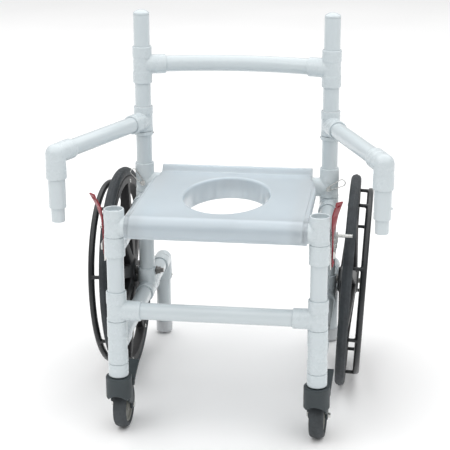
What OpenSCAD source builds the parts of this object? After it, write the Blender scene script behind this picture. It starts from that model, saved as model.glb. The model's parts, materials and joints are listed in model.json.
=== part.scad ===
// Self-propelled commode chair built from white plastic pipe and fittings, with a lift-off
// moulded seat, swing-away arms, large rear wheels, anti-tip legs and braked front casters.
// Millimetres. +Z is up, the sitter faces -Y, and the origin is on the floor at the middle
// of the whole chair's box.

/* [Pipe and fittings] */
// Outside diameter of the frame pipe
pipe_d = 42.2; // [42.2:0.1:42.4]
// Wall of the frame pipe
pipe_wall = 3.6; // [2.8:0.1:4.5]
// Outside diameter of a fitting's hub
hub_d = 50.8; // [50.4:0.1:51.2]
// Branch length of a tee or elbow, from the centre of the joint
branch_len = 62; // [58:1:66]

/* [Frame] */
// Clear width between the side pipes
inner_w = 457.2; // [450:1:470]
// Depth from the front posts to the rear uprights
post_gap = 396; // [390:1:402]
// Height of the front and rear seat rails
rail_z = 564; // [560:1:568]
// Height of the lower front crossbar
lower_bar_z = 345; // [340:1:350]
// Height of the lower side rails
lower_rail_z = 256; // [252:1:258]
// Height of the back crossbar
back_bar_z = 885; // [875:1:895]
// Height of the handle tops
handle_top_z = 1030; // [1010:1:1050]
// How far the whole frame leans back from upright
recline = 1.4; // [0.8:0.1:1.6]
// How far each end of the back crossbar turns rearward
bow_angle = 16; // [10:1:18]
// Distance of the anti-tip legs behind the rear uprights
tip_gap = 245; // [235:1:255]

/* [Seat] */
// Width of the commode opening
opening_w = 218; // [200:1:224]
// Length of the commode opening
opening_l = 320; // [300:1:324]
// Depth of the collar under the opening
collar_depth = 58; // [40:1:60]

/* [Arms] */
// Angle of each arm out from straight ahead
arm_out = 21.6; // [20:0.1:30]
// Height of the arm pipes
arm_z = 733; // [731:0.5:735]

/* [Rear wheels] */
// Radius of the tyre
wheel_r = 288; // [284:0.5:290]
// Width of the tyre
tyre_w = 27; // [26:0.5:28]
// Distance of the wheel centres from the middle of the chair
wheel_x = 307; // [306:0.5:309]
// Lean of the wheels, tops outward
camber = 2.7; // [2:0.1:3]
// Radius of the handrim's centre line
handrim_r = 245; // [242:0.5:248]
// Spokes of a wheel
spokes = 8; // [8:1:8]

/* [Casters] */
// Radius of the caster wheel
caster_r = 60; // [58:0.5:61]
// Trail of the caster wheel behind its stem
caster_trail = 45; // [40:1:46]
// Radius of the caster hood
hood_r = 33; // [32:0.5:34]

/* [Hidden] */
$fn = 64;

LEFT = -1;
RIGHT = 1;
SIDES = [LEFT, RIGHT];

pipe_r = pipe_d / 2;
pipe_bore_r = pipe_r - pipe_wall;
hub_r = hub_d / 2;
body_r = hub_r - 1.2;
glue_r = pipe_r + 0.03;
post_x = inner_w / 2 + pipe_r;
front_y = -post_gap;
lip = 2;
groove = 18;
elbow_r = hub_r - 0.6;
elbow_band = 24;
pipe_start = pipe_r + 3.4;

upper_run = 49;
rear_rim_z = rail_z + 55;
socket_rim_z = rail_z + 45;
tee_foot_z = rail_z - hub_r - 0.2;
side_rail_z = tee_foot_z - hub_r;
foot_tee_top_z = lower_bar_z - hub_r;
foot_tee_low_z = lower_rail_z - 51;
bushing_low_z = foot_tee_low_z - 35;
liner_top_z = socket_rim_z - 11;
post_top_z = liner_top_z - 34;
cap_seam_z = handle_top_z - 13;

arm_tee_top_z = arm_z + 41;
arm_tee_low_z = arm_z - 26.5;
collar_h = 11;
bush_r = pipe_r + 1.8;
leg_len = 171;
stub_len = 135;
plug_r = 16.7;
liner_bore_r = 17.2;

seat_top_z = rail_z + 29;
seat_t = 7;
roll_r = seat_top_z - rail_z;
roll_in_r = hub_r + 0.6;
seat_half_w = 222;
seat_main_w = 211;
opening_y = -196;

axle_r = 6.35;
rim_r = wheel_r - 24.8;
rim_in_r = 243;
rim_half_w = 13;
handrim_off = 41;
handrim_tube_r = 8.6;
spoke_phase = [29.5, 18];

pin_z = rail_z + 3;
pin_r = 3.95;
bail_reach = 48;
bail_half_w = 9;
bail_wire_r = 1.25;
bail_y = -hub_r - 2.2;
bail_tilt = [50, 28];

pivot = [-366, side_rail_z - 31];
drive = [-378, side_rail_z - 6];
plate_x = post_x + hub_r + 0.3;
plate_t = 2.4;
lug_x = plate_x + plate_t + 0.4;
lug_t = 3.6;
slide_x = lug_x + lug_t + 0.4;
slide_t = 4;
slide_travel = 25.6;
slide_rivets = [-316, -275];
rivet_r = 2.9;

hood_top_z = 168;
hood_low_z = 112;
fork_gap = 18.5;
cheek_t = 6.5;
pedal_hinge = [40, 132];
caster_turn = [1, 3];

floor_z = 8;
caster_axle_z = floor_z + caster_r;
contact_y = front_y + caster_trail;
lift = caster_r * (1 - cos(recline));
axle_h = (wheel_r - tyre_w / 2) * cos(camber) + tyre_w / 2;
axle_z = floor_z + (axle_h - lift - contact_y * sin(recline)) / cos(recline);
rear_reach = -contact_y * cos(recline) + (axle_z - floor_z) * sin(recline) + wheel_r;
front_reach = (hood_r + caster_trail) * cos(recline) - (hood_low_z - floor_z) * sin(recline);
tip_clearance = 4;
tip_cap_z = floor_z + (tip_clearance + (tip_gap + 24 - contact_y) * sin(recline)) / cos(recline);
shoe_r = 4.5;
shoe_z = drive[1] + 1;
tyre_front = sqrt(wheel_r * wheel_r - pow(shoe_z - axle_z, 2));
shoe_gap = 2.8;
shoe_y = -tyre_front - shoe_r - slide_travel - shoe_gap;

// ---------------------------------------------------------------- helpers

// The frame's own space, with the rear uprights at Y = 0, leant back on its wheels
module on_chair() {
  translate([0, (front_reach - rear_reach) / 2, lift]) rotate([-recline, 0, 0])
    translate([0, -contact_y, -floor_z]) children();
}

// Puts a right-hand part on the asked side of the chair
module on_side(side) {
  on_chair()
    if (side == RIGHT) children();
    else mirror([1, 0, 0]) children();
}

module both_sides() {
  for (side = SIDES) on_side(side) children();
}

module along_x() { rotate([0, 90, 0]) children(); }
module along_y() { rotate([-90, 0, 0]) children(); }
module along_back_y() { rotate([90, 0, 0]) children(); }

module pipe(len, r = pipe_r, bore = pipe_bore_r) {
  difference() {
    cylinder(h = len, r = r);
    translate([0, 0, -1]) cylinder(h = len + 2, r = bore);
  }
}

// Round barrel from z0 to z1 whose end edges are softened
module barrel(z0, z1, r, edge = lip) {
  rotate_extrude()
    polygon([[0, z0], [r - edge, z0], [r - edge * 0.3, z0 + edge * 0.3], [r, z0 + edge],
             [r, z1 - edge], [r - edge * 0.3, z1 - edge * 0.3], [r - edge, z1], [0, z1]]);
}

// One leg of a fitting along +Z: slimmer body, then the hub that the pipe is glued into
module leg_solid(len, r = body_r, band = groove) {
  cylinder(h = band, r = r);
  barrel(band, len, hub_r);
}

// Tee with its run on Z and its branch on +X
module tee(up, down, bore = glue_r, branch_from = pipe_start) {
  difference() {
    union() {
      leg_solid(up);
      mirror([0, 0, 1])
        if (down > groove + 2 * lip) leg_solid(down);
        else barrel(-1, down, hub_r, 1);
      along_x() leg_solid(branch_len);
    }
    translate([0, 0, -down - 1]) cylinder(h = up + down + 2, r = bore);
    along_x() translate([0, 0, branch_from - 0.2]) cylinder(h = branch_len, r = glue_r);
  }
}

// Elbow with one leg on +X and one on -Z
module elbow() {
  difference() {
    union() {
      sphere(r = elbow_r);
      along_x() leg_solid(branch_len, elbow_r, elbow_band);
      mirror([0, 0, 1]) leg_solid(branch_len, elbow_r, elbow_band);
    }
    along_x() translate([0, 0, pipe_start]) cylinder(h = branch_len, r = glue_r);
    mirror([0, 0, 1]) translate([0, 0, pipe_start]) cylinder(h = branch_len, r = glue_r);
  }
}

// Cross pipe between two inward branches
module cross_pipe(y, z) {
  half = post_x - pipe_start;
  on_chair() translate([-half, y, z]) along_x() pipe(2 * half);
}

module at_upright() { translate([post_x, 0, 0]) children(); }
module at_post() { translate([post_x, front_y, 0]) children(); }

// Wheel's own frame: Z out along the axle, -X up
module at_wheel() {
  translate([wheel_x, 0, axle_z]) rotate([0, 90 + camber, 0]) children();
}

// Ring of places at one per spoke, X pointing away from the hub
module at_spokes(side) {
  first = spoke_phase[side == LEFT ? 0 : 1];
  for (k = [0:spokes - 1]) rotate([0, 0, 180 + first + k * 360 / spokes]) children();
}

module pin_hole(depth = 2 * hub_r) {
  translate([post_x, -depth, pin_z]) along_y() cylinder(h = 2 * depth, r = pin_r + 0.1);
}

module axle_hole() {
  at_wheel() translate([0, 0, -110]) cylinder(h = 100, r = axle_r + 0.08);
}

// ---------------------------------------------------------------- frame pipes

module rear_upright(side) {
  foot = lower_rail_z + pipe_start;
  color("whitesmoke") on_side(side) difference() {
    translate([post_x, 0, foot]) pipe(cap_seam_z - foot);
    pin_hole();
    axle_hole();
  }
}

module front_post(side) {
  foot = bushing_low_z + 10;
  color("whitesmoke") on_side(side)
    translate([post_x, front_y, foot]) pipe(post_top_z - foot);
}

// Bowed rod for the pipe's outside or bore: one arc, with a straight end in each hub
module bowed(r, straight_r, extra) {
  end_x = post_x - branch_len * cos(bow_angle);
  end_y = branch_len * sin(bow_angle);
  bend_r = end_x / sin(bow_angle);
  straight = branch_len - pipe_start;
  translate([0, end_y - bend_r * cos(bow_angle), 0]) rotate([0, 0, 90 - bow_angle])
    rotate_extrude(angle = 2 * bow_angle, $fn = 96) translate([bend_r, 0]) circle(r = r);
  for (side = SIDES) translate([side * end_x, end_y, 0])
    rotate([0, 0, side == RIGHT ? -bow_angle : 180 + bow_angle])
      translate([-1, 0, 0]) along_x() cylinder(h = straight + extra + 1, r = straight_r);
}

module back_crossbar() {
  color("whitesmoke") on_chair() translate([0, 0, back_bar_z]) difference() {
    bowed(pipe_r, pipe_r - 0.06, 0);
    bowed(pipe_bore_r, pipe_bore_r + 0.06, 1);
  }
}

module front_seat_rail() { color("whitesmoke") cross_pipe(front_y, rail_z); }
module rear_seat_rail() { color("whitesmoke") cross_pipe(0, rail_z); }
module lower_crossbar() { color("whitesmoke") cross_pipe(front_y, lower_bar_z); }

module seat_side_rails() {
  len = post_gap - 2 * pipe_start;
  color("whitesmoke") both_sides()
    translate([post_x, front_y + pipe_start, side_rail_z]) along_y() pipe(len);
}

module lower_side_rails() {
  len = post_gap + tip_gap - 2 * pipe_start;
  color("whitesmoke") both_sides()
    translate([post_x, front_y + pipe_start, lower_rail_z]) along_y() pipe(len);
}

module anti_tip_tubes() {
  top = lower_rail_z - pipe_start;
  color("whitesmoke") both_sides()
    translate([post_x, tip_gap, tip_cap_z + 6]) pipe(top - tip_cap_z - 6);
}

// ---------------------------------------------------------------- frame fittings

module handle_caps() {
  dome_h = 8;
  dome_r = (pipe_r * pipe_r + dome_h * dome_h) / (2 * dome_h);
  color("white") both_sides() at_upright() {
    translate([0, 0, cap_seam_z - 15]) cylinder(h = 15, r = pipe_bore_r - 0.1);
    translate([0, 0, cap_seam_z]) cylinder(h = 5, r = pipe_r);
    intersection() {
      translate([0, 0, handle_top_z - dome_r]) sphere(r = dome_r, $fn = 128);
      translate([0, 0, cap_seam_z + 5]) cylinder(h = dome_h, r = pipe_r);
    }
  }
}

module back_tees() {
  color("white") both_sides() translate([post_x, 0, back_bar_z])
    rotate([0, 0, 180 - bow_angle]) tee(upper_run, upper_run);
}

module stop_collars() {
  color("white") both_sides() translate([post_x, 0, arm_tee_low_z - collar_h - 0.3])
    difference() {
      barrel(0, collar_h, hub_r, 1.2);
      translate([0, 0, -1]) cylinder(h = collar_h + 2, r = glue_r);
    }
}

module rear_seat_tees() {
  color("white") both_sides() difference() {
    translate([post_x, 0, rail_z]) rotate([0, 0, 180])
      tee(rear_rim_z - rail_z, rail_z - tee_foot_z);
    pin_hole();
  }
}

module front_seat_tees() {
  color("white") both_sides() translate([post_x, front_y, rail_z]) rotate([0, 0, 180])
    tee(socket_rim_z - rail_z, rail_z - tee_foot_z);
}

// Short tee whose run is no taller than its own branch
module side_rail_tee(turn) {
  half = hub_r - 0.05;
  rotate([0, 0, turn]) difference() {
    union() {
      barrel(-half, half, hub_r, 1);
      along_x() leg_solid(branch_len);
    }
    translate([0, 0, -half - 1]) cylinder(h = 2 * half + 2, r = glue_r);
    along_x() translate([0, 0, pipe_start - 0.2]) cylinder(h = branch_len, r = glue_r);
  }
}

module side_rail_tees() {
  color("white") both_sides() {
    translate([post_x, 0, side_rail_z]) side_rail_tee(-90);
    translate([post_x, front_y, side_rail_z]) side_rail_tee(90);
  }
}

module lower_bar_tees() {
  color("white") both_sides() translate([post_x, front_y, lower_bar_z]) rotate([0, 0, 180])
    tee(51.5, hub_r - 0.1);
}

module lower_rail_tees() {
  color("white") both_sides() translate([post_x, front_y, lower_rail_z]) rotate([0, 0, 90])
    tee(foot_tee_top_z - lower_rail_z - 0.1, lower_rail_z - foot_tee_low_z);
}

module rear_foot_tees() {
  color("white") both_sides() difference() {
    translate([post_x, 0, lower_rail_z]) rotate([-90, 0, 0]) rotate([0, 0, -90])
      tee(upper_run, upper_run);
    axle_hole();
  }
}

module anti_tip_elbows() {
  color("white") both_sides() translate([post_x, tip_gap, lower_rail_z])
    rotate([0, 0, -90]) elbow();
}

module anti_tip_caps() {
  color("white") both_sides() translate([post_x, tip_gap, tip_cap_z]) difference() {
    barrel(0, 35, 24, 2.5);
    translate([0, 0, 5.8]) cylinder(h = 40, r = glue_r);
  }
}

module socket_liners() {
  color("white") both_sides() at_post() translate([0, 0, post_top_z + 0.2])
    pipe(liner_top_z - post_top_z - 0.2, pipe_r, liner_bore_r);
}

module caster_bushings() {
  color("white") both_sides() at_post() difference() {
    union() {
      barrel(bushing_low_z, foot_tee_low_z - 0.1, hub_r, 2.5);
      translate([0, 0, bushing_low_z + 5]) cylinder(h = 66, r = pipe_bore_r - 0.1);
    }
    difference() {
      translate([0, 0, bushing_low_z + 9.8]) cylinder(h = 60, r = glue_r);
      cylinder(h = 400, r = pipe_bore_r - 0.1);
    }
    translate([0, 0, bushing_low_z - 1]) cylinder(h = 90, r = 5.56);
  }
}

module screw_head(r = 3.4, h = 2.2) {
  barrel(0, h, r, 0.8);
}

module frame_screws() {
  color("silver") both_sides() {
    translate([post_x - hub_r - 0.05, tip_gap, lower_rail_z - 50]) rotate([0, -90, 0]) screw_head();
    translate([post_x - hub_r - 0.05, 0, arm_tee_low_z - collar_h / 2]) rotate([0, -90, 0])
      screw_head(2.6, 1.6);
  }
}

module axle_bolts() {
  inner = -(wheel_x - post_x + hub_r) / cos(camber) - 0.6;
  color("silver") both_sides() at_wheel() {
    translate([0, 0, inner - 20]) cylinder(h = 20 - inner + 31, r = axle_r);
    translate([0, 0, inner - 2.4]) cylinder(h = 2.4, r = 12);
    translate([0, 0, inner - 12.4]) cylinder(h = 10, r = 10.5, $fn = 6);
    translate([0, 0, -31.6]) cylinder(h = 2.2, r = 12);
    translate([0, 0, 31]) barrel(0, 7, 10.5, 2);
  }
}

module lock_brackets() {
  low = pivot[1] - 10;
  mid = side_rail_z - 16;
  top = side_rail_z + 16;
  rivet_len = slide_x + slide_t - plate_x - plate_t + 0.4;
  color("silver") both_sides() {
    translate([plate_x, 0, 0]) difference() {
      along_x() linear_extrude(plate_t)
        polygon([[-low, -392], [-low, -352], [-mid, -340], [-mid, -238], [-top, -238],
                 [-top, -392]]);
      translate([-1, pivot[0], pivot[1]]) along_x() cylinder(h = plate_t + 2, r = 3.05);
    }
    for (y = [-318, -262]) {
      translate([post_x, y - 8, side_rail_z]) along_y() pipe(16, pipe_r + 3.2, pipe_r + 0.05);
      translate([post_x + pipe_r + 2.5, y - 8, side_rail_z - 8])
        cube([plate_x - post_x - pipe_r - 2, 16, 16]);
    }
    for (y = slide_rivets) {
      translate([plate_x + plate_t - 0.5, y, shoe_z]) along_x()
        cylinder(h = rivet_len + 0.5, r = rivet_r);
      translate([slide_x + slide_t + 0.3, y, shoe_z]) along_x() screw_head(5, 1.6);
    }
  }
}

// ---------------------------------------------------------------- seat

// Half-closed sheet: flat top, a roll over the front rail and a raised lip at the back
module seat_section(drop) {
  r = roll_r - drop;
  top = seat_top_z - drop;
  translate([front_y, rail_z]) difference() {
    union() {
      intersection() {
        circle(r = r, $fn = 96);
        translate([-40, 0]) square([41, 40]);
      }
      translate([-r, -17]) square([r - roll_in_r, 18]);
      translate([-r + 1.2, -18]) circle(r = 3.6, $fn = 24);
    }
    circle(r = roll_in_r, $fn = 96);
    translate([-roll_in_r, -roll_r]) square([roll_r, roll_r]);
  }
  translate([front_y, seat_top_z - seat_t]) square([post_gap + 16, top - seat_top_z + seat_t]);
  difference() {
    union() {
      translate([24, seat_top_z + 5 - drop]) circle(r = 10, $fn = 48);
      translate([14, seat_top_z - seat_t]) square([20, 12 - drop]);
      translate([29, rail_z - 4]) square([5, 34]);
    }
    translate([0, rail_z]) circle(r = roll_in_r, $fn = 96);
  }
}

module oval(grow = 0) {
  a = opening_w / 2 + grow;
  b = opening_l / 2 + grow;
  polygon([for (t = [0:5:355]) [a * cos(t), b * sin(t)]]);
}

module seat_outline() {
  polygon([[-seat_half_w, front_y - 40], [seat_half_w, front_y - 40], [seat_half_w, -120],
           [213, -48], [204, -36], [204, 60], [-204, 60], [-204, -36], [-213, -48],
           [-seat_half_w, -120]]);
}

module seat_sweep(half, drop) {
  translate([-half, 0, 0]) rotate([90, 0, 90]) linear_extrude(2 * half) seat_section(drop);
}

module seat_panel() {
  collar_low = seat_top_z - collar_depth;
  color("lightsteelblue") on_chair() difference() {
    union() {
      intersection() {
        union() {
          seat_sweep(seat_main_w, 0);
          seat_sweep(seat_half_w, 1.5);
        }
        translate([0, 0, 400]) linear_extrude(300) seat_outline();
      }
      for (side = SIDES) translate([side * (seat_half_w - 3), 0, 0])
        translate([-3, -360, seat_top_z - 22]) cube([6, 236, 20]);
      translate([0, opening_y, collar_low]) linear_extrude(collar_depth - 1) oval(4);
    }
    translate([0, opening_y, collar_low - 1]) linear_extrude(collar_depth + 2) oval();
    for (side = SIDES, y = [front_y, 0]) translate([side * seat_half_w, y, rail_z]) along_x()
      cylinder(h = 76, r = roll_in_r, center = true);
  }
}

// ---------------------------------------------------------------- arms

// Arm's own frame: origin on the upright at the arm's height, X along the arm
module at_arm(side) {
  on_side(side) translate([post_x, 0, arm_z]) rotate([0, 0, arm_out - 90]) children();
}

module arm_bush(side) {
  low = arm_tee_low_z - arm_z;
  color("gainsboro") at_arm(side) translate([0, 0, low])
    pipe(arm_tee_top_z - arm_tee_low_z, bush_r, pipe_r + 0.06);
}

module arm_fittings(side) {
  color("white") at_arm(side) {
    tee(arm_tee_top_z - arm_z, arm_z - arm_tee_low_z, bush_r + 0.06, bush_r + 3);
    translate([post_gap, 0, 0]) rotate([0, 0, 180]) elbow();
  }
}

module arm_pipes(side) {
  start = bush_r + 3;
  color("whitesmoke") at_arm(side) {
    translate([start, 0, 0]) along_x() pipe(post_gap - pipe_start - start - 0.2);
    translate([post_gap, 0, -stub_len]) difference() {
      union() {
        barrel(0, stub_len - pipe_start - 0.2, pipe_r, 1.2);
        translate([0, 0, stub_len - leg_len]) barrel(0, 40, plug_r, 1.5);
      }
      translate([0, 0, stub_len - leg_len - 1]) cylinder(h = leg_len, r = plug_r - 3.4);
    }
    translate([post_gap, pipe_r - 0.5, 24 - stub_len]) along_y() screw_head(3.2, 4.6);
  }
}

// ---------------------------------------------------------------- rear wheels

module rear_tyre(side) {
  crown_r = tyre_w / 2;
  color("darkslategray") on_side(side) at_wheel() rotate_extrude($fn = 128) difference() {
    union() {
      translate([wheel_r - crown_r, 0]) circle(r = crown_r, $fn = 48);
      translate([rim_r, -crown_r + 1.5]) square([wheel_r - crown_r - rim_r, tyre_w - 3]);
    }
    translate([rim_r - 20, -20]) square([20.1, 40]);
  }
}

module mag_wheel(side) {
  hub_half = 28;
  spoke_half_w = 13;
  spoke_deep = 23;
  color("black") on_side(side) at_wheel() difference() {
    union() {
      rotate_extrude($fn = 128) translate([rim_in_r, -rim_half_w])
        square([rim_r - rim_in_r, 2 * rim_half_w]);
      intersection() {
        translate([0, 0, -spoke_deep - 1]) linear_extrude(2 * spoke_deep + 2) at_spokes(side)
          polygon([[20, -spoke_half_w - 4], [rim_in_r + 4, -spoke_half_w],
                   [rim_in_r + 4, spoke_half_w], [20, spoke_half_w + 4]]);
        rotate_extrude($fn = 128)
          polygon([[12, -spoke_deep], [36, -spoke_deep], [rim_in_r + 5, -9], [rim_in_r + 5, 9],
                   [36, spoke_deep], [12, spoke_deep]]);
      }
      barrel(-hub_half, hub_half, 33, 3);
    }
    translate([0, 0, -50]) cylinder(h = 100, r = 9);
    for (z = [-hub_half - 1, hub_half - 10]) translate([0, 0, z]) cylinder(h = 11, r = 14.05);
  }
}

module wheel_bearings(side) {
  color("silver") on_side(side) at_wheel()
    for (z = [-28, 18.2]) translate([0, 0, z]) pipe(9.8, 14, axle_r + 0.05);
}

module handrim(side) {
  color("black") on_side(side) at_wheel() {
    translate([0, 0, handrim_off]) rotate_extrude($fn = 128)
      translate([handrim_r, 0]) circle(r = handrim_tube_r, $fn = 32);
    at_spokes(side) translate([handrim_r + 4, 0, rim_half_w + 0.1])
      cylinder(h = handrim_off - rim_half_w - 2, r = 5, $fn = 24);
  }
}

// ---------------------------------------------------------------- casters

// Caster's own frame: origin on the floor under the stem, wheel trailing on +Y
module at_caster(side) {
  on_side(side) translate([post_x, front_y, 0])
    rotate([0, 0, -side * caster_turn[side == LEFT ? 0 : 1]]) children();
}

module at_caster_axle(side) {
  at_caster(side) translate([0, caster_trail, caster_axle_z]) children();
}

module caster_hood(side) {
  cheek_x = [-fork_gap - cheek_t, fork_gap];
  color("slategray") at_caster(side) {
    difference() {
      union() {
        barrel(110, hood_top_z, hood_r, 2);
        for (x = cheek_x) translate([x, 0, 0]) rotate([90, 0, 90]) linear_extrude(cheek_t)
          union() {
            translate([caster_trail, caster_axle_z]) circle(r = 12);
            polygon([[-24, 112], [34, 74], [56, 68], [48, 134], [36, 150], [-20, 150]]);
          }
        translate([0, 0, hood_top_z - 1]) cylinder(h = 2.6, r = 14);
        translate([0, 0, hood_top_z]) cylinder(h = 68, r = 5.5);
      }
      translate([-fork_gap, caster_trail, caster_axle_z]) along_x()
        cylinder(h = 2 * fork_gap, r = caster_r + 4, $fn = 96);
      translate([-40, caster_trail, caster_axle_z]) along_x() cylinder(h = 80, r = 4.05);
      translate([-fork_gap, 20, 60]) cube([2 * fork_gap, 60, 80]);
      translate([0, -hood_r - 2, hood_low_z - 16]) along_y() cylinder(h = 40, r = 26, $fn = 96);
    }
    for (x = [-31, fork_gap + cheek_t - 1]) translate([x, pedal_hinge[0], pedal_hinge[1]])
      along_x() cylinder(h = 7, r = 3);
  }
}

module caster_axle(side) {
  outer = fork_gap + cheek_t;
  color("silver") at_caster_axle(side) {
    translate([-outer - 4, 0, 0]) along_x() cylinder(h = 2 * outer + 8, r = 3.95);
    translate([outer + 0.1, 0, 0]) along_x() cylinder(h = 6, r = 7, $fn = 6);
    translate([-outer - 4.1, 0, 0]) along_x() barrel(0, 4, 7, 1);
  }
}

module caster_core(side) {
  core_r = caster_r - 15;
  color("gray") at_caster_axle(side) along_x() difference() {
    union() {
      translate([0, 0, -14]) cylinder(h = 28, r = core_r - 0.1);
      translate([0, 0, -18]) cylinder(h = 36, r = 13);
    }
    for (z = [-15, 9]) translate([0, 0, z]) difference() {
      cylinder(h = 6, r = core_r - 6);
      cylinder(h = 6, r = 17);
    }
    translate([0, 0, -20]) cylinder(h = 40, r = 4.02);
  }
}

module caster_tread(side) {
  core_r = caster_r - 15;
  half_w = 16;
  color("dimgray") at_caster_axle(side) along_x() rotate_extrude($fn = 96)
    intersection() {
      translate([core_r, -half_w]) square([15, 2 * half_w]);
      translate([caster_r - 22, 0]) circle(r = 22, $fn = 64);
    }
}

module caster_pedal(side) {
  ear_t = 5;
  color("slategray") at_caster(side) translate([0, pedal_hinge[0], pedal_hinge[1]]) {
    rotate([34, 0, 0]) difference() {
      linear_extrude(8) polygon([[-31, 8], [31, 8], [33, 66], [-33, 66]]);
      translate([0, 0, -1]) linear_extrude(4) square([2 * fork_gap, 40], center = true);
    }
    for (x = [-25.4 - ear_t, 25.4]) translate([x, 0, 0]) rotate([90, 0, 90])
      difference() {
        linear_extrude(ear_t) union() {
          circle(r = 8);
          rotate(34) translate([0, -4]) square([16, 11]);
        }
        translate([0, 0, -1]) cylinder(h = ear_t + 2, r = 3.06);
      }
  }
}

// ---------------------------------------------------------------- wheel locks

// Flat blade station of the lever's bent handle
module blade(at, turn) {
  translate(at) rotate([0, 0, turn]) cube([3.6, 19, 2], center = true);
}

module lock_lever(side) {
  mid_x = lug_x + lug_t / 2;
  stations = [[mid_x, -374, side_rail_z + 12], [mid_x, -379, side_rail_z + 47],
              [mid_x + 2, -386, side_rail_z + 68], [mid_x + 5, -396, side_rail_z + 98],
              [mid_x + 16, -420, side_rail_z + 138]];
  turns = [0, 0, -24, -40, -46];
  color("firebrick") on_side(side) difference() {
    union() {
      translate([lug_x, 0, 0]) along_x() linear_extrude(lug_t)
        polygon([[-pivot[1] + 9, -374], [-pivot[1] + 9, -358], [-pivot[1] - 12, -357],
                 [-side_rail_z - 13, -364.5], [-side_rail_z - 13, -383.5],
                 [-pivot[1] - 12, -385]]);
      for (i = [0:len(stations) - 2]) hull() {
        blade(stations[i], turns[i]);
        blade(stations[i + 1], turns[i + 1]);
      }
      translate([plate_x, pivot[0], pivot[1]]) along_x()
        cylinder(h = lug_x - plate_x + 1, r = 3);
      translate([lug_x + 1, pivot[0], pivot[1]]) along_x() screw_head(5, lug_t + 1);
      translate([lug_x + 1, drive[0], drive[1]]) along_x()
        cylinder(h = slide_x + slide_t - lug_x - 0.8, r = 2.5);
    }
    translate(stations[4] - [20, -4, 11]) along_x() cylinder(h = 40, r = 4, $fn = 24);
  }
}

module lock_slide(side) {
  half_h = 8.5;
  slot_h = 6.2;
  color("dimgray") on_side(side) {
    translate([slide_x, 0, 0]) difference() {
      translate([0, -388, shoe_z - half_h]) cube([slide_t, shoe_y + 390, 2 * half_h]);
      translate([-1, drive[0] - 2.85, drive[1] - 3.8]) cube([slide_t + 2, 5.9, 9.6]);
      for (y = slide_rivets)
        translate([-1, y - slide_travel - rivet_r - 0.4, shoe_z - slot_h / 2])
          cube([slide_t + 2, slide_travel + 2 * rivet_r + 0.8, slot_h]);
    }
    translate([slide_x, shoe_y, shoe_z]) along_x() cylinder(h = 40, r = shoe_r);
  }
}

// ---------------------------------------------------------------- wire lock pins

module lock_pin(side) {
  color("silver") on_side(side) translate([post_x, 0, pin_z]) {
    translate([0, bail_y - 3, 0]) along_y() cylinder(h = -bail_y + 3 + hub_r + 8, r = pin_r);
    translate([0, bail_y - 1.7, 0]) along_back_y() barrel(0, 4.5, 7, 1);
  }
}

// Wire ring round the pin, two legs that spread a little, and a rounded end
module pin_bail(side) {
  tilt = bail_tilt[side == LEFT ? 0 : 1];
  ring_r = pin_r + 0.06 + bail_wire_r;
  leg_x = bail_reach - bail_half_w;
  spread = atan2(bail_half_w - ring_r + 0.56, leg_x - 2.6);
  color("silver") on_side(side) translate([post_x, bail_y, pin_z]) rotate([0, -tilt, 0]) {
    along_y() rotate_extrude($fn = 48) translate([ring_r, 0]) circle(r = bail_wire_r, $fn = 24);
    translate([leg_x, 0, 0]) along_y() rotate([0, 0, -90])
      rotate_extrude(angle = 180, $fn = 48) translate([bail_half_w, 0])
        circle(r = bail_wire_r, $fn = 24);
    for (flip = [-1, 1]) translate([2.6, 0, flip * (ring_r - 0.56)])
      rotate([0, -flip * spread, 0]) along_x()
        cylinder(h = leg_x - 2, r = bail_wire_r - 0.1, $fn = 24);
  }
}

// ---------------------------------------------------------------- assembly

rear_upright(LEFT);  // rear_upright_left
rear_upright(RIGHT);  // rear_upright_right
front_post(LEFT);  // front_post_left
front_post(RIGHT);  // front_post_right
back_crossbar();
front_seat_rail();
rear_seat_rail();
lower_crossbar();
seat_side_rails();
lower_side_rails();
anti_tip_tubes();
handle_caps();
back_tees();
stop_collars();
rear_seat_tees();
front_seat_tees();
side_rail_tees();
lower_bar_tees();
lower_rail_tees();
rear_foot_tees();
anti_tip_elbows();
anti_tip_caps();
socket_liners();
caster_bushings();
frame_screws();
axle_bolts();
lock_brackets();
seat_panel();
arm_bush(LEFT);  // arm_bush_left
arm_bush(RIGHT);  // arm_bush_right
arm_fittings(LEFT);  // arm_fittings_left
arm_fittings(RIGHT);  // arm_fittings_right
arm_pipes(LEFT);  // arm_pipes_left
arm_pipes(RIGHT);  // arm_pipes_right
rear_tyre(LEFT);  // rear_tyre_left
rear_tyre(RIGHT);  // rear_tyre_right
mag_wheel(LEFT);  // mag_wheel_left
mag_wheel(RIGHT);  // mag_wheel_right
wheel_bearings(LEFT);  // wheel_bearings_left
wheel_bearings(RIGHT);  // wheel_bearings_right
handrim(LEFT);  // handrim_left
handrim(RIGHT);  // handrim_right
caster_hood(LEFT);  // caster_hood_left
caster_hood(RIGHT);  // caster_hood_right
caster_axle(LEFT);  // caster_axle_left
caster_axle(RIGHT);  // caster_axle_right
caster_core(LEFT);  // caster_core_left
caster_core(RIGHT);  // caster_core_right
caster_tread(LEFT);  // caster_tread_left
caster_tread(RIGHT);  // caster_tread_right
caster_pedal(LEFT);  // caster_pedal_left
caster_pedal(RIGHT);  // caster_pedal_right
lock_lever(LEFT);  // lock_lever_left
lock_lever(RIGHT);  // lock_lever_right
lock_slide(LEFT);  // lock_slide_left
lock_slide(RIGHT);  // lock_slide_right
lock_pin(LEFT);  // lock_pin_left
lock_pin(RIGHT);  // lock_pin_right
pin_bail(LEFT);  // pin_bail_left
pin_bail(RIGHT);  // pin_bail_right
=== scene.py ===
import json
import math

import bmesh
import bpy
from mathutils import Matrix, Vector


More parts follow.
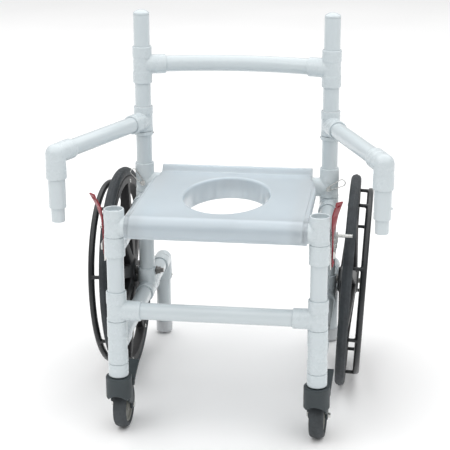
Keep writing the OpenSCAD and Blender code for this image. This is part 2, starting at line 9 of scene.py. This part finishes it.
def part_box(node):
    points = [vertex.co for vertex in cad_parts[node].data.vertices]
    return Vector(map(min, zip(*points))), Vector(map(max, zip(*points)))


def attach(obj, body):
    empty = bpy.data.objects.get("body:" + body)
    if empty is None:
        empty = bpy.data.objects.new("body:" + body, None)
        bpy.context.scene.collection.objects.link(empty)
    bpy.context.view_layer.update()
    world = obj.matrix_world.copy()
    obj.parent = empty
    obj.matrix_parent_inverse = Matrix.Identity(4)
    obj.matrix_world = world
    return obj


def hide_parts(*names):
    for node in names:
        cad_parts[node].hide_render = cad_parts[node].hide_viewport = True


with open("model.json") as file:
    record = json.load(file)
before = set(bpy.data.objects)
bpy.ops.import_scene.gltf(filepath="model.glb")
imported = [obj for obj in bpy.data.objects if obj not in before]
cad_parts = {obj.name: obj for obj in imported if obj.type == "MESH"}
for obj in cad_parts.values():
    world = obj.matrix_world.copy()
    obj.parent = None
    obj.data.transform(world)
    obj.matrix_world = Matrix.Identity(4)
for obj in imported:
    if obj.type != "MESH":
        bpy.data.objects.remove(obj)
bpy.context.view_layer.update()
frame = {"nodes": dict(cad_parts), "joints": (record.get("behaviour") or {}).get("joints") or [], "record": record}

MM = 0.001
SIDES = ("left", "right")
NODES = frame["nodes"]
JOINTS = {joint["name"]: joint for joint in frame["joints"]}
POST_X, ARM_Z = 249.7, 733.0       # the right arm's pivot in the chair's own space, mm


def chair_space():
    """From the chair's own upright space, in mm, to the frame it leans back in."""
    pivot = JOINTS["arm_swing_right"]
    up = Vector(pivot["axis"]).normalized()
    lean = Matrix.Rotation(-math.atan2(up.y, up.z), 4, "X")
    start = Matrix.Translation(Vector(pivot["pos_m"]))
    return start @ lean @ Matrix.Scale(MM, 4) @ Matrix.Translation((-POST_X, 0.0, -ARM_Z))


CHAIR = chair_space()


# ------------------------------------------------------------------ node helpers

def new_material(name):
    """A node material, with its tree and its main shader."""
    material = bpy.data.materials.new(name)
    material.use_nodes = True
    tree = material.node_tree
    shader = tree.nodes["Principled BSDF"]
    return material, tree, shader


def noise_at(tree, scale, detail=4.0, rough=0.5, stretch=None):
    """Noise over the piece's own coordinates, in metres; stretch squeezes it along an axis."""
    place = tree.nodes.new("ShaderNodeTexCoord")
    spread = tree.nodes.new("ShaderNodeMapping")
    if stretch:
        spread.inputs["Scale"].default_value = stretch
    tree.links.new(place.outputs["Object"], spread.inputs["Vector"])
    node = tree.nodes.new("ShaderNodeTexNoise")
    node.inputs["Scale"].default_value = scale
    node.inputs["Detail"].default_value = detail
    node.inputs["Roughness"].default_value = rough
    tree.links.new(spread.outputs["Vector"], node.inputs["Vector"])
    return node.outputs["Fac"]


def ramp(tree, source, low, high):
    """Turns a noise value into a colour between low and high, over the noise's middle range."""
    node = tree.nodes.new("ShaderNodeValToRGB")
    ends = node.color_ramp.elements
    for end, position, color in ((ends[0], 0.35, low), (ends[1], 0.65, high)):
        end.position = position
        end.color = (*color, 1.0)
    tree.links.new(source, node.inputs["Fac"])
    return node.outputs["Color"]


def grey(value):
    return (value, value, value)


def add_bump(tree, shader, height, distance, strength, before=None):
    """Bump of a distance in metres on the shader, over an earlier bump if one is given."""
    node = tree.nodes.new("ShaderNodeBump")
    node.inputs["Strength"].default_value = strength
    node.inputs["Distance"].default_value = distance
    tree.links.new(height, node.inputs["Height"])
    if before is not None:
        tree.links.new(before, node.inputs["Normal"])
    tree.links.new(node.outputs["Normal"], shader.inputs["Normal"])
    return node.outputs["Normal"]


def shaded(color, amount):
    """The same hue, lighter or darker."""
    return tuple(min(1.0, channel * amount) for channel in color)


def moulded_plastic(name, color, gloss, grain, mottle, coat=0.0, lumps=0.1):
    """Moulded plastic: faint cloudy colour, fine grain, and patches of handled gloss.

    gloss is the mean roughness, grain and lumps are bump strengths, and mottle is the share by
    which the colour strays.
    """
    material, tree, shader = new_material(name)
    cloud = noise_at(tree, 9.0, 5.0)
    tint = ramp(tree, cloud, shaded(color, 1 - mottle), shaded(color, 1 + mottle))
    tree.links.new(tint, shader.inputs["Base Color"])
    rubbed = noise_at(tree, 38.0, 6.0, 0.65)
    rough = ramp(tree, rubbed, grey(gloss * 0.93), grey(min(1.0, gloss * 1.1)))
    tree.links.new(rough, shader.inputs["Roughness"])
    fine = add_bump(tree, shader, noise_at(tree, 900.0, 3.0), 0.00006, grain)
    add_bump(tree, shader, noise_at(tree, 26.0, 2.0), 0.0006, lumps, before=fine)
    shader.inputs["Coat Weight"].default_value = coat
    shader.inputs["Coat Roughness"].default_value = 0.08
    shader.inputs["IOR"].default_value = 1.5
    return material


def bare_metal(name, color, rough, stretch):
    """Drawn or turned steel: fine streaks along the work, with a little tarnish."""
    material, tree, shader = new_material(name)
    tarnish = noise_at(tree, 120.0, 5.0)
    tint = ramp(tree, tarnish, shaded(color, 0.82), shaded(color, 1.08))
    tree.links.new(tint, shader.inputs["Base Color"])
    streaks = noise_at(tree, 300.0, 4.0, 0.6, stretch)
    tree.links.new(ramp(tree, streaks, grey(rough * 0.7), grey(rough * 1.4)),
                   shader.inputs["Roughness"])
    add_bump(tree, shader, streaks, 0.00008, 0.5)
    shader.inputs["Metallic"].default_value = 1.0
    return material


def solid_rubber(name, color):
    """Matt rubber with a dusty bloom and a fine grain."""
    rough = 0.62
    material, tree, shader = new_material(name)
    dust = noise_at(tree, 22.0, 6.0, 0.6)
    tint = ramp(tree, dust, shaded(color, 0.8), shaded(color, 1.25))
    tree.links.new(tint, shader.inputs["Base Color"])
    tree.links.new(ramp(tree, noise_at(tree, 160.0, 4.0), grey(rough * 0.85), grey(rough * 1.2)),
                   shader.inputs["Roughness"])
    fine = add_bump(tree, shader, noise_at(tree, 1400.0, 2.0), 0.00008, 0.7)
    add_bump(tree, shader, noise_at(tree, 90.0, 3.0), 0.0002, 0.25, before=fine)
    shader.inputs["Specular IOR Level"].default_value = 0.4
    return material


MATERIALS = {
    "pipe": moulded_plastic("white_pipe", (0.60, 0.66, 0.685), 0.22, 0.06, 0.012,
                            coat=0.3, lumps=0.012),
    "fitting": moulded_plastic("white_fitting", (0.61, 0.67, 0.695), 0.27, 0.08, 0.012,
                               coat=0.2, lumps=0.015),
    "bush": moulded_plastic("sleeve", (0.60, 0.62, 0.64), 0.35, 0.1, 0.03),
    "end_cap": moulded_plastic("end_cap", (0.60, 0.62, 0.64), 0.4, 0.35, 0.04),
    "seat": moulded_plastic("seat_shell", (0.50, 0.575, 0.63), 0.18, 0.06, 0.015,
                            coat=0.45, lumps=0.02),
    "tyre": solid_rubber("slate_tyre", (0.034, 0.040, 0.045)),
    "mag": moulded_plastic("black_wheel", (0.008, 0.008, 0.009), 0.5, 0.4, 0.2),
    "handrim": moulded_plastic("black_rim", (0.012, 0.014, 0.016), 0.34, 0.12, 0.15, coat=0.08),
    "hood": moulded_plastic("slate_hood", (0.034, 0.045, 0.050), 0.5, 0.5, 0.12),
    "core": moulded_plastic("grey_core", (0.22, 0.22, 0.2), 0.45, 0.4, 0.1),
    "tread": solid_rubber("caster_tread", (0.049, 0.056, 0.061)),
    "lever": moulded_plastic("dipped_red", (0.24, 0.008, 0.018), 0.38, 0.2, 0.1, coat=0.1),
    "steel": bare_metal("bright_steel", (0.62, 0.62, 0.60), 0.26, (1.0, 1.0, 0.08)),
    "bolt": bare_metal("dull_bolt", (0.20, 0.195, 0.19), 0.34, (1.0, 1.0, 0.08)),
}


def let_light_through(material, depth, weight):
    """Thin pale plastic passes some light, which lifts the shade inside the seat's opening."""
    shader = material.node_tree.nodes["Principled BSDF"]
    shader.inputs["Subsurface Weight"].default_value = weight
    shader.inputs["Subsurface Scale"].default_value = depth
    shader.inputs["Subsurface Radius"].default_value = (1.0, 1.0, 1.0)


let_light_through(MATERIALS["seat"], depth=0.03, weight=0.6)
SLOTS = {entry["node"]: entry["material_slot"] for entry in frame["record"]["subparts"]}


def paint(piece, slot):
    """Gives a piece the finish of its slot and no other."""
    piece.data.materials.clear()
    piece.data.materials.append(MATERIALS[slot])


def paint_cad():
    """Every CAD node that stays takes its slot's finish."""
    for name, node in NODES.items():
        material = MATERIALS[SLOTS[name]]
        if not node.material_slots:
            node.data.materials.append(material)
        for place in node.material_slots:
            place.material = material


# ------------------------------------------------------------------ mesh helpers

BODY_OF = {}
for body_name, names in frame["record"]["behaviour"]["bodies"].items():
    for node_name in names:
        BODY_OF[node_name] = body_name


def add_piece(name, data, body, slot, replaced=()):
    """A visible piece from a mesh, riding on its body, in place of the CAD nodes it replaces."""
    piece = bpy.data.objects.new(name, data)
    bpy.context.scene.collection.objects.link(piece)
    paint(piece, slot)
    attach(piece, body)
    if replaced:
        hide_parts(*replaced)
    return piece


def apply_modifiers(piece):
    """Keeps the shape that the modifiers make, and drops the modifiers."""
    graph = bpy.context.evaluated_depsgraph_get()
    data = bpy.data.meshes.new_from_object(piece.evaluated_get(graph))
    old = piece.data
    piece.modifiers.clear()
    piece.data = data
    bpy.data.meshes.remove(old)


def soften(node, voxel, passes, keep):
    """A moulded copy of a CAD node: its edges and inside corners rounded as a mould leaves them.

    voxel is the grid in mm, passes the rounds of smoothing, and keep the share of faces kept.
    """
    data = NODES[node].data.copy()
    piece = bpy.data.objects.new(node + "_moulded", data)
    bpy.context.scene.collection.objects.link(piece)
    remesh = piece.modifiers.new("remesh", "REMESH")
    remesh.mode = "VOXEL"
    remesh.voxel_size = voxel * MM
    smooth = piece.modifiers.new("smooth", "SMOOTH")
    smooth.factor = 0.5
    smooth.iterations = passes
    thin = piece.modifiers.new("thin", "DECIMATE")
    thin.ratio = keep
    apply_modifiers(piece)
    piece.data.shade_smooth()
    paint(piece, SLOTS[node])
    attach(piece, BODY_OF[node])
    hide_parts(node)
    return piece


# ------------------------------------------------------------------ seat

STEP = 0.5         # mm between the points of a side outline
CORNER_STEPS = 8   # points round each corner of the seat's outline


def march(y, z, heading, stretches):
    """Walks a side outline from a point: each stretch is a length and the angle it turns through."""
    track = [(y, z, heading)]
    for length, turn in stretches:
        count = max(1, round(length / STEP))
        for _ in range(count):
            heading += turn / count / 2
            y += math.cos(heading) * length / count
            z += math.sin(heading) * length / count
            heading += turn / count / 2
            track.append((y, z, heading))
    return track


def arc(radius, degrees):
    """A stretch that follows an arc; a minus turns downward or forward."""
    return radius * abs(math.radians(degrees)), math.radians(degrees)


def smooth_step(value, low, high):
    """Rises softly from 0 at low to 1 at high."""
    t = min(1.0, max(0.0, (value - low) / (high - low)))
    return t * t * (3 - 2 * t)


class SeatShape:
    """The seat as a sheet: v runs front to back along its top, u runs across, all in mm."""

    ROLL_R = 29.0                # the nose, rolled over the front rail
    EDGE_SKIRT = 20.0            # height of the turned-down side edge
    STEP_DOWN = 3.0              # the ends sit this much below the middle
    STEP_FROM, STEP_TO = 209.6, 211.4
    SKIN, THINNED_BY = 7.0, 3.8  # sheet thickness, and what it loses over the fittings
    THIN_FROM, THIN_TO = 174.0, 184.0
    FRONT_Y = -396.0
    RAIL_Z = 564.0
    HOLE_AHEAD = 196.0           # from the rear uprights to the centre of the opening
    HOLE = (109.0, 160.0)        # half sizes of the opening, across and along

    def __init__(self):
        top_z = self.RAIL_Z + self.ROLL_R
        self.depth = -self.FRONT_Y
        rise = [(self.depth + 3.0, 0.0), arc(12, 50), (9.5, 0.0), arc(9, -140), (30.0, 0.0)]
        fall = [arc(self.ROLL_R, 90), (14.5, 0.0), arc(6, -30), (3.4, 0.0)]
        self.back = march(self.FRONT_Y, top_z, 0.0, rise)
        self.nose = march(self.FRONT_Y, top_z, math.pi, fall)
        self.v_low = -sum(length for length, _ in fall)
        self.v_high = sum(length for length, _ in rise)
        self.hole_v = self.depth - self.HOLE_AHEAD

    def at(self, u, v, below=0.0):
        """Point on the sheet, a distance below its outer face."""
        track, way = (self.back, 1) if v >= 0 else (self.nose, -1)
        total = self.v_high if v >= 0 else -self.v_low
        place = min(abs(v) / total, 0.99999) * (len(track) - 1)
        index = int(place)
        share = place - index
        y0, z0, h0 = track[index]
        y1, z1, h1 = track[index + 1]
        y, z, h = (a + (b - a) * share for a, b in ((y0, y1), (z0, z1), (h0, h1)))
        up_y, up_z = -math.sin(h) * way, math.cos(h) * way
        below += self.STEP_DOWN * smooth_step(abs(u), self.STEP_FROM, self.STEP_TO)
        return CHAIR @ Vector((u, y - up_y * below, z - up_z * below))

    def skin(self, u):
        """Thickness of the sheet: thinner where it passes over the fittings."""
        return self.SKIN - self.THINNED_BY * smooth_step(abs(u), self.THIN_FROM, self.THIN_TO)


def rounded_outline(corners, runs):
    """Points round a polygon with corners (x, y, radius) and so many points on each straight."""
    total = len(corners)
    turns = []
    for k in range(total):
        before, here, after = (Vector(corners[(k + j) % total][:2]) for j in (-1, 0, 1))
        a, b = (before - here).normalized(), (after - here).normalized()
        half = math.acos(max(-1.0, min(1.0, a.dot(b)))) / 2
        reach = corners[k][2] / math.tan(half)
        middle = here + (a + b).normalized() * (corners[k][2] / math.sin(half))
        start, end = here + a * reach - middle, here + b * reach - middle
        sweep = math.copysign(math.pi - 2 * half, start.x * end.y - start.y * end.x)
        turns.append([middle + Matrix.Rotation(sweep * j / CORNER_STEPS, 2) @ start
                      for j in range(CORNER_STEPS + 1)])
    points = []
    for k in range(total):
        start, end = turns[k][-1], turns[(k + 1) % total][0]
        points += turns[k]
        points += [start.lerp(end, j / (runs[k] + 1)) for j in range(1, runs[k] + 1)]
    return points


def ring_mesh(name, loops):
    """Joins loops of equal length with quads, and the last loop to the first."""
    count = len(loops[0])
    vertices = [tuple(point) for loop in loops for point in loop]
    faces = []
    for k in range(len(loops)):
        a, b = k * count, (k + 1) % len(loops) * count
        for i in range(count):
            j = (i + 1) % count
            faces.append((a + i, a + j, b + j, b + i))
    data = bpy.data.meshes.new(name)
    data.from_pydata(vertices, [], faces)
    work = bmesh.new()
    work.from_mesh(data)
    bmesh.ops.recalc_face_normals(work, faces=work.faces)
    work.to_mesh(data)
    work.free()
    data.shade_smooth()
    return data


def seat_rim(shape, inset):
    """Corners (u, v, radius) of the seat's outline, or of the same outline moved inward."""
    half, v_back, radius = 222.0, shape.depth, 4.0 + inset / 8
    waist_start, waist_end, lip_half = (213, 48), (204, 36), 203
    right = [(half - inset, shape.v_low + inset, radius), (half - inset, v_back - 120, 40),
             (waist_start[0] - inset, v_back - waist_start[1], 8),
             (waist_end[0] - inset, v_back - waist_end[1], 10),
             (lip_half - inset, shape.v_high - inset, radius)]
    return right + [(-u, v, r) for u, v, r in reversed(right)]


def seat():
    """The seat as one closed shell: collar, top, rolled rim, side skirt and underside."""
    shape = SeatShape()
    v_back, deepest, spacing = shape.depth, 16.0, 4.5
    corners = seat_rim(shape, 0.0)
    runs = [max(2, round((Vector(a[:2]) - Vector(b[:2])).length / spacing))
            for a, b in zip(corners, corners[1:] + corners[:1])]
    outline = rounded_outline(corners, runs)
    within = rounded_outline(seat_rim(shape, deepest), runs)
    count = len(outline)
    centre = Vector((0.0, shape.hole_v))
    hole, edge, skirt = [], [], []
    for i, point in enumerate(outline):
        along = (outline[(i + 1) % count] - outline[i - 1]).normalized()
        sideways = smooth_step(abs(along.y), 0.35, 0.9)
        level = smooth_step(point.y, 30, 60) * (1 - smooth_step(point.y, v_back - 130, v_back - 90))
        hole.append(math.atan2((point.y - centre.y) / shape.HOLE[1], point.x / shape.HOLE[0]))
        edge.append(1.5 + 5.5 * sideways * level)
        skirt.append(1.5 + (shape.EDGE_SKIRT - 1.5) * sideways * level)

    def on_rim(i, inset):
        return outline[i].lerp(within[i], inset / deepest)

    def on_hole(grow, below):
        return [shape.at((shape.HOLE[0] + grow) * math.cos(a),
                         centre.y + (shape.HOLE[1] + grow) * math.sin(a), below) for a in hole]

    def across(share, start, lift, margin=0.0):
        loop = []
        for i in range(count):
            near = Vector(((shape.HOLE[0] + start) * math.cos(hole[i]),
                           centre.y + (shape.HOLE[1] + start) * math.sin(hole[i])))
            here = near.lerp(on_rim(i, edge[i] + margin), share)
            loop.append(shape.at(here.x, here.y, shape.skin(here.x) if lift else 0.0))
        return loop

    def round_rim(insets, drops):
        return [shape.at(*on_rim(i, insets[i]), drops[i]) for i in range(count)]

    collar, lip_r, plate_loops = 58.0, 6.0, 44
    loops = [on_hole(1.5, collar), on_hole(0.3, collar - 0.6), on_hole(0.0, collar - 2.0)]
    loops += [on_hole(0.0, depth) for depth in (44.0, 28.0, 14.0, 8.0)]
    for k in range(6):
        a = math.pi / 2 * k / 6
        loops.append(on_hole(lip_r * (1 - math.cos(a)), lip_r * (1 - math.sin(a))))
    loops += [across(k / plate_loops, lip_r, False, 9.0) for k in range(plate_loops + 1)]
    loops += [across(1.0, lip_r, False, m) for m in (7.0, 5.8, 5.2, 4.6, 4.0, 3.2, 1.6, 0.0)]
    for k in range(1, 6):
        a = math.pi / 2 * k / 5
        loops.append(round_rim([e * (1 - math.sin(a)) for e in edge],
                               [e * (1 - math.cos(a)) for e in edge]))
    for share in (0.35, 0.8, 1.0):
        loops.append(round_rim([0.0] * count, [e + (s - e) * share for e, s in zip(edge, skirt)]))
    wall = 3.0
    for inset, drop in ((0.8, 0.9), (wall - 0.8, 0.9), (wall, 0.0)):
        loops.append(round_rim([inset] * count, [s + drop for s in skirt]))
    loops.append(round_rim([wall] * count, [max(s * 0.6, shape.skin(p.x))
                                            for p, s in zip(outline, skirt)]))
    loops += [across(k / plate_loops, lip_r, True) for k in range(plate_loops, -1, -4)]
    loops += [on_hole(4.0, 12.0), on_hole(4.0, collar - 2.0), on_hole(3.6, collar - 0.5)]
    add_piece("seat_shell", ring_mesh("seat_shell", loops), "seat", "seat", ["seat_panel"])


# ------------------------------------------------------------------ rear wheels

FACE_IN = Matrix.Rotation(math.pi, 4, "X")
SPOKES = 8
RIM_R, RIM_HALF = 249.0, 13.0          # mag rim: radius of the screws, and half its width
TYRE_DEEP, TYRE_WIDTH = 24.7, 27.0


def axle_frame(joint):
    """Places a lathed shape on a joint's axis: Z along the axis, X up the chair's own upright."""
    axis = Vector(JOINTS[joint]["axis"]).normalized()
    up = (CHAIR.to_3x3() @ Vector((0, 0, 1))).normalized()
    side = (up - axis * up.dot(axis)).normalized()
    turn = Matrix((side, axis.cross(side), axis)).transposed().to_4x4()
    return Matrix.Translation(Vector(JOINTS[joint]["pos_m"])) @ turn


def lathe(name, profile, count, place):
    """Turns a closed outline of (radius, height) points, in mm, round the place's own Z."""
    loops = []
    for k in range(count):
        a = 2 * math.pi * k / count
        loops.append([place @ (Vector((r * math.cos(a), r * math.sin(a), z)) * MM)
                      for r, z in profile])
    return ring_mesh(name, loops)


def joined(name, parts):
    """One mesh out of several, which it uses up."""
    work = bmesh.new()
    for part in parts:
        work.from_mesh(part)
        bpy.data.meshes.remove(part)
    data = bpy.data.meshes.new(name)
    work.to_mesh(data)
    work.free()
    data.shade_smooth()
    return data


def tyre_profile(rim_r, outer_r, width):
    """Round tyre with a flatter tread, two shallow grooves and a bead that sits on the rim."""
    half = width / 2
    crown = outer_r - half
    groove_z, groove_half, groove_deep = 5.4, 1.3, 0.9
    points = [(rim_r, -half + 3.5), (rim_r + 1.2, -half + 2.0), (rim_r + 4, -half + 1.0),
              (crown - 2, -half + 0.2)]
    steps = 20
    for k in range(steps + 1):
        a = -math.pi / 2 + math.pi * k / steps
        r = crown + half * math.cos(a)
        z = half * math.sin(a)
        if abs(abs(z) - groove_z) < groove_half:
            r -= groove_deep
        points.append((r, z))
    points += [(crown - 2, half - 0.2), (rim_r + 4, half - 1.0), (rim_r + 1.2, half - 2.0),
               (rim_r, half - 3.5)]
    return points


# ------------------------------------------------------------------ pieces

def moulded_fittings():
    """The pipe fittings, with softened lips and filleted branches."""
    for node in ("back_tees", "stop_collars", "rear_seat_tees", "front_seat_tees",
                 "side_rail_tees", "lower_bar_tees", "lower_rail_tees", "rear_foot_tees",
                 "anti_tip_elbows", "anti_tip_caps", "caster_bushings",
                 "arm_fittings_left", "arm_fittings_right"):
        soften(node, voxel=1.3, passes=3, keep=0.4)


def moulded_small_parts():
    """Caps, liners, levers, caster mouldings and wheels, with the soft edges of their moulds."""
    for node in ("handle_caps", "socket_liners"):
        soften(node, voxel=1.0, passes=3, keep=0.5)
    sided = (("arm_bush_", 1.0, 3, 0.5), ("lock_lever_", 0.8, 4, 0.6),
             ("caster_hood_", 1.2, 5, 0.6), ("caster_pedal_", 0.8, 4, 0.6),
             ("caster_core_", 0.9, 4, 0.6), ("mag_wheel_", 2.0, 4, 0.5),
             ("handrim_", 1.8, 4, 0.6))
    for side in SIDES:
        for node, voxel, passes, keep in sided:
            soften(node + side, voxel, passes, keep)


def caster_treads():
    """Round caster treads with a fine moulded seam and a softened shoulder."""
    deep, shoulder, seam, steps = 13.0, 9.0, 0.35, 16
    for side in SIDES:
        low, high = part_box("caster_tread_" + side)
        outer_r = (high.z - low.z) / 2 / MM
        half = (high.x - low.x) / 2 / MM
        inner_r = outer_r - deep
        points = [(inner_r, -half + 1.0), (inner_r + 1.5, -half)]
        for k in range(steps + 1):
            a = -math.pi / 2 + math.pi * k / steps
            swell = abs(math.cos(a)) ** 0.7
            ridge = seam if k == steps // 2 else 0.0
            points.append((outer_r - shoulder + shoulder * swell - seam + ridge,
                           half * math.sin(a)))
        points += [(inner_r + 1.5, half), (inner_r, half - 1.0)]
        piece = lathe("round_tread_" + side, points, 96, axle_frame("caster_roll_" + side))
        add_piece("round_tread_" + side, piece, "caster_" + side, "tread",
                  ["caster_tread_" + side])


def rim_screws():
    """Bright screw heads on the inner face of the rim, one behind each handrim stud."""
    head = [(0.05, 0.6), (2.0, 0.6), (2.2, 2.3), (3.8, 2.1), (4.8, 1.2), (5.2, 0.0),
            (5.2, -0.5), (0.05, -0.5)]
    spot = Matrix.Translation((RIM_R * MM, 0.0, -RIM_HALF * MM))
    for side, first in (("left", -29.5), ("right", 18.0)):
        place = axle_frame("wheel_spin_" + side)
        screws = []
        for k in range(SPOKES):
            turn = Matrix.Rotation(math.radians(first + 360.0 / SPOKES * k), 4, "Z")
            screws.append(lathe("screw", head, 24, place @ turn @ spot @ FACE_IN))
        add_piece("rim_screws_" + side, joined("rim_screws_" + side, screws),
                  "wheel_" + side, "steel")


def tyres():
    """Solid tyres, lathed round with grooves in place of the plain CAD rings."""
    for side in SIDES:
        low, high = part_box("rear_tyre_" + side)
        place = axle_frame("wheel_spin_" + side)
        outer_r = (high.y - low.y) / 2 / MM
        profile = tyre_profile(outer_r - TYRE_DEEP, outer_r, TYRE_WIDTH)
        piece = lathe("tyre_" + side, profile, 192, place)
        add_piece("solid_tyre_" + side, piece, "wheel_" + side, "tyre", ["rear_tyre_" + side])


def build():
    paint_cad()
    moulded_fittings()
    moulded_small_parts()
    caster_treads()
    rim_screws()
    seat()
    tyres()


# ------------------------------------------------------------------ stage

def add_floor():
    """A plain pale floor, half a millimetre under the wheels."""
    size = 12.0
    data = bpy.data.meshes.new("floor")
    corners = [(-size, -size, 0), (size, -size, 0), (size, size, 0), (-size, size, 0)]
    data.from_pydata(corners, [], [(0, 1, 2, 3)])
    floor = bpy.data.objects.new("floor", data)
    bpy.context.scene.collection.objects.link(floor)
    material, tree, shader = new_material("pale_floor")
    cloud = noise_at(tree, 0.8, 2.0)
    tree.links.new(ramp(tree, cloud, grey(0.93), grey(0.96)), shader.inputs["Base Color"])
    shader.inputs["Roughness"].default_value = 0.9
    floor.data.materials.append(material)
    floor.location.z = -0.0005


def add_light(name, place, target, size, power):
    """A square soft light that faces its target."""
    data = bpy.data.lights.new(name, "AREA")
    data.shape = "SQUARE"
    data.size = size
    data.energy = power
    light = bpy.data.objects.new(name, data)
    bpy.context.scene.collection.objects.link(light)
    light.location = place
    light.rotation_mode = "QUATERNION"
    light.rotation_quaternion = (Vector(target) - Vector(place)).to_track_quat("-Z", "Y")


def add_lights():
    """A wide soft light overhead, two weak ones in front and an even pale sky."""
    middle = (0.0, 0.0, 0.5)
    add_light("key", (-2.2, -2.2, 2.8), middle, 2.0, 10.0)
    add_light("fill", (2.6, -2.0, 1.6), middle, 2.6, 4.0)
    add_light("top", (0.0, 0.9, 4.5), (0.0, 0.9, 0.0), 11.0, 500.0)
    world = bpy.data.worlds.new("studio")
    world.use_nodes = True
    bpy.context.scene.world = world
    sky = world.node_tree.nodes["Background"]
    sky.inputs["Color"].default_value = (1.0, 1.0, 1.0, 1.0)
    sky.inputs["Strength"].default_value = 0.44
    bpy.context.scene.view_settings.view_transform = "Standard"


def add_camera():
    """The picture's own viewpoint: a long lens, a little to the right and above."""
    yaw, pitch, roll = math.radians(7.66), math.radians(18.03), math.radians(0.23)
    place = CHAIR @ Vector((413.4, -3305.6, 1532.9))
    ahead = Vector((-math.sin(yaw) * math.cos(pitch), math.cos(yaw) * math.cos(pitch),
                    -math.sin(pitch)))
    level = Vector((math.cos(yaw), math.sin(yaw), 0.0))
    down = ahead.cross(level)
    right = level * math.cos(roll) + down * math.sin(roll)
    down = down * math.cos(roll) - level * math.sin(roll)
    data = bpy.data.cameras.new("camera")
    data.lens = 103.0
    data.sensor_width = 36.0
    camera = bpy.data.objects.new("camera", data)
    bpy.context.scene.collection.objects.link(camera)
    lean = CHAIR.to_3x3().normalized()
    turn = (lean @ Matrix((right, -down, -ahead)).transposed()).to_4x4()
    camera.matrix_world = Matrix.Translation(place) @ turn
    bpy.context.scene.camera = camera


build()
add_floor()
add_lights()
add_camera()
